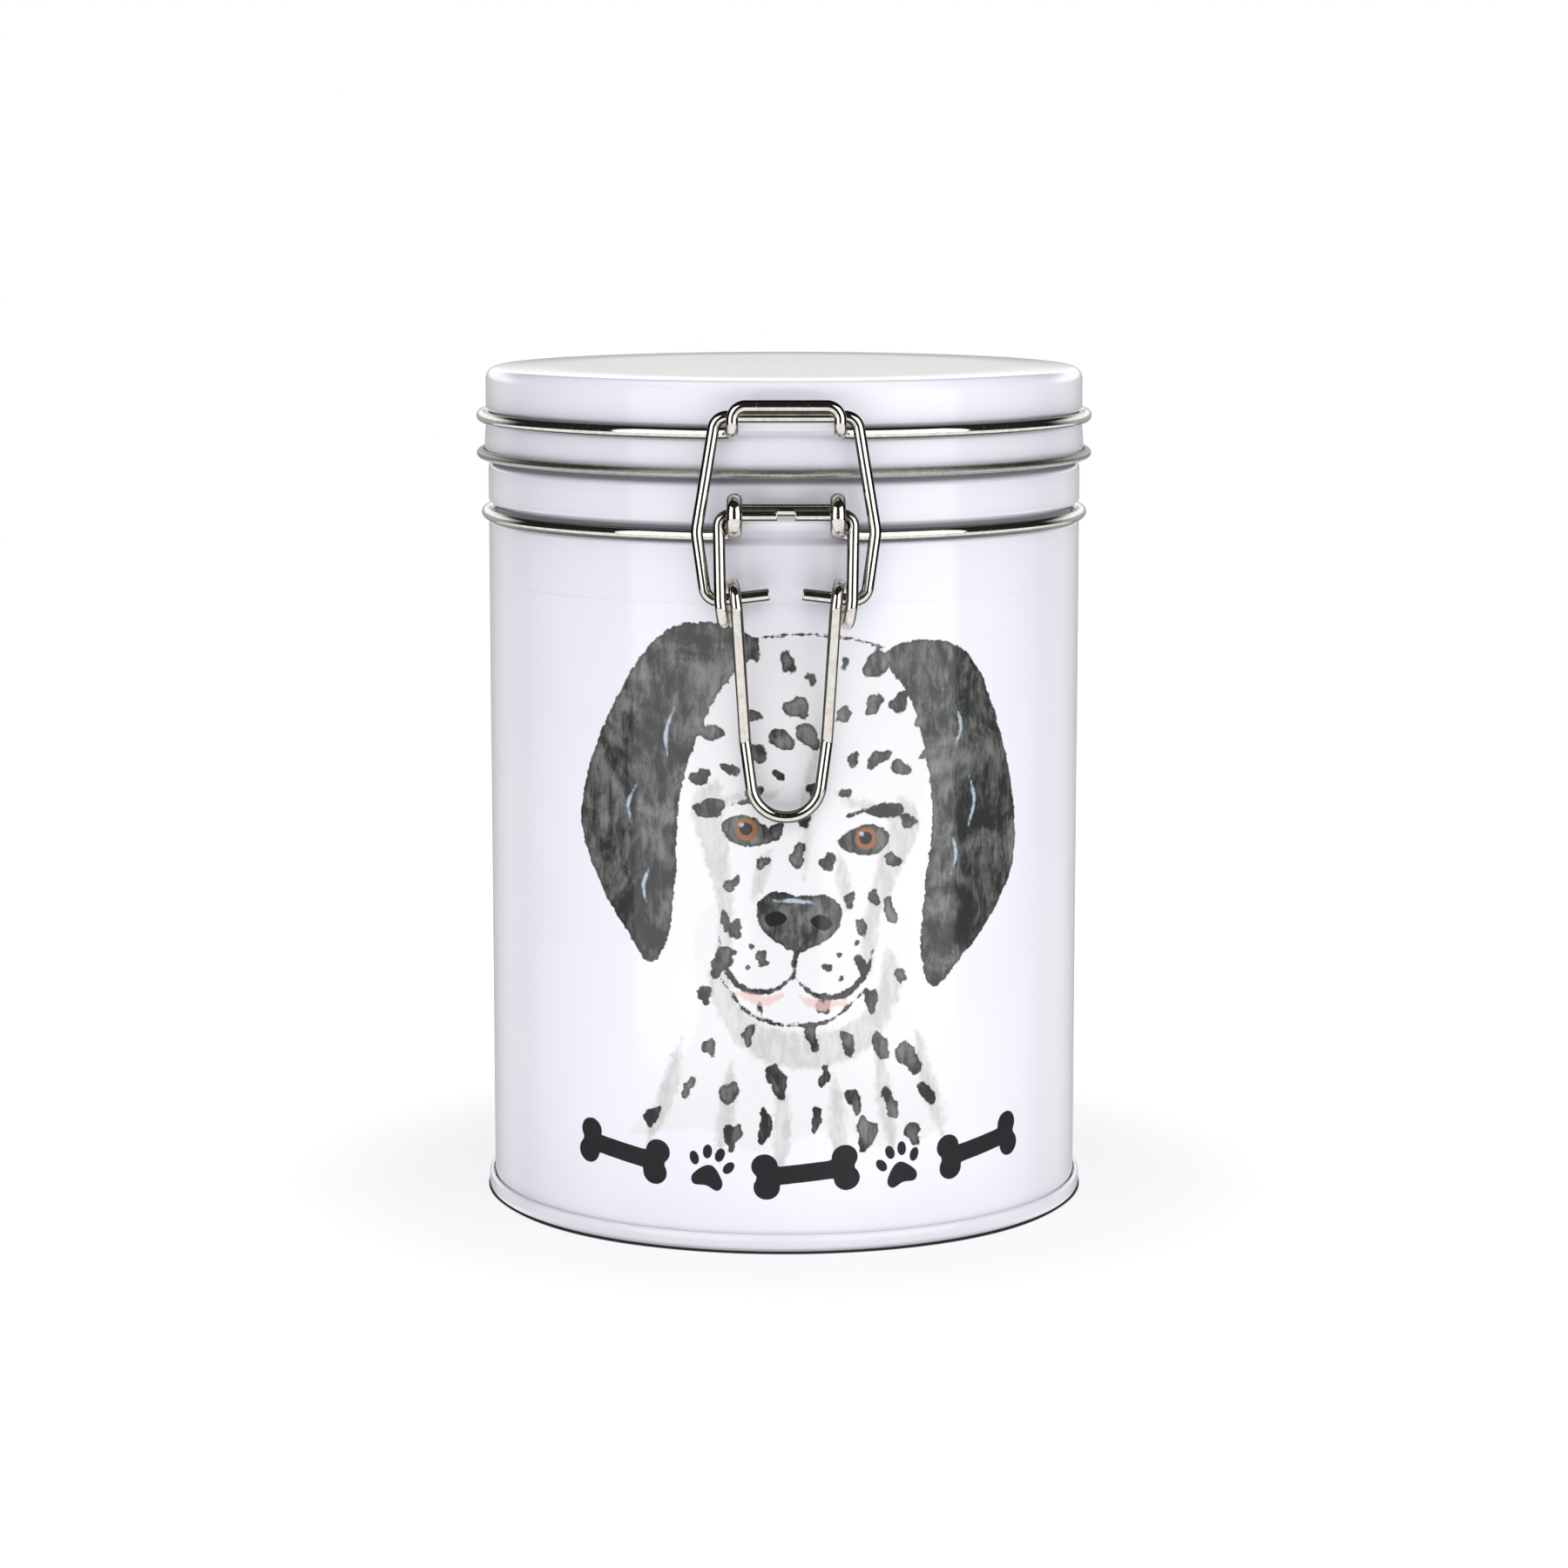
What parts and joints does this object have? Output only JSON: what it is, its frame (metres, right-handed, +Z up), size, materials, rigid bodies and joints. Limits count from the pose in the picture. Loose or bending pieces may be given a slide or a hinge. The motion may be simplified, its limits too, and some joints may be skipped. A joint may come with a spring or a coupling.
{
  "type": "clip-top storage tin",
  "caption": "Round white tin for dry pet treats: seamed body, hinged lift-up lid with a gasket, and an over-centre wire clasp.",
  "frame": {"origin": "on the tin's vertical axis, at the floor under the bottom seam", "axes": "+Z up, -Y towards the clasp, +Y towards the lid hinge, +X to the right seen from the clasp"},
  "size_m": [0.1122, 0.1242, 0.152],
  "materials": {
    "white_lacquer": "smooth gloss",
    "nickel_wire": "bright nickel plate",
    "gasket_silicone": "matt translucent"
  },
  "bodies": {
    "canister": {"body_shell": "white_lacquer", "base_end": "white_lacquer", "body_wire": "nickel_wire"},
    "lid": {"lid_cap": "white_lacquer", "lid_gasket": "gasket_silicone", "lid_wire": "nickel_wire"},
    "lever": {"lever": "nickel_wire"},
    "bail": {"bail": "nickel_wire"}
  },
  "joints": [
    {"name": "lid_hinge", "type": "hinge", "parent": "canister", "child": "lid", "pos_m": [0, 0.05845, 0.1315], "axis": [-1, 0, 0], "range_deg": [0, 110]},
    {"name": "lever_pivot", "type": "hinge", "parent": "canister", "child": "lever", "pos_m": [0, -0.0582, 0.1296], "axis": [-1, 0, 0], "range_deg": [0, 100]},
    {"name": "bail_pivot", "type": "hinge", "parent": "lever", "child": "bail", "pos_m": [0, -0.0578, 0.1154], "axis": [1, 0, 0], "range_deg": [0, 56]}
  ],
  "couplings": [
    {"joint": "bail_pivot", "follows": "lever_pivot", "ratio": 0.56}
  ]
}
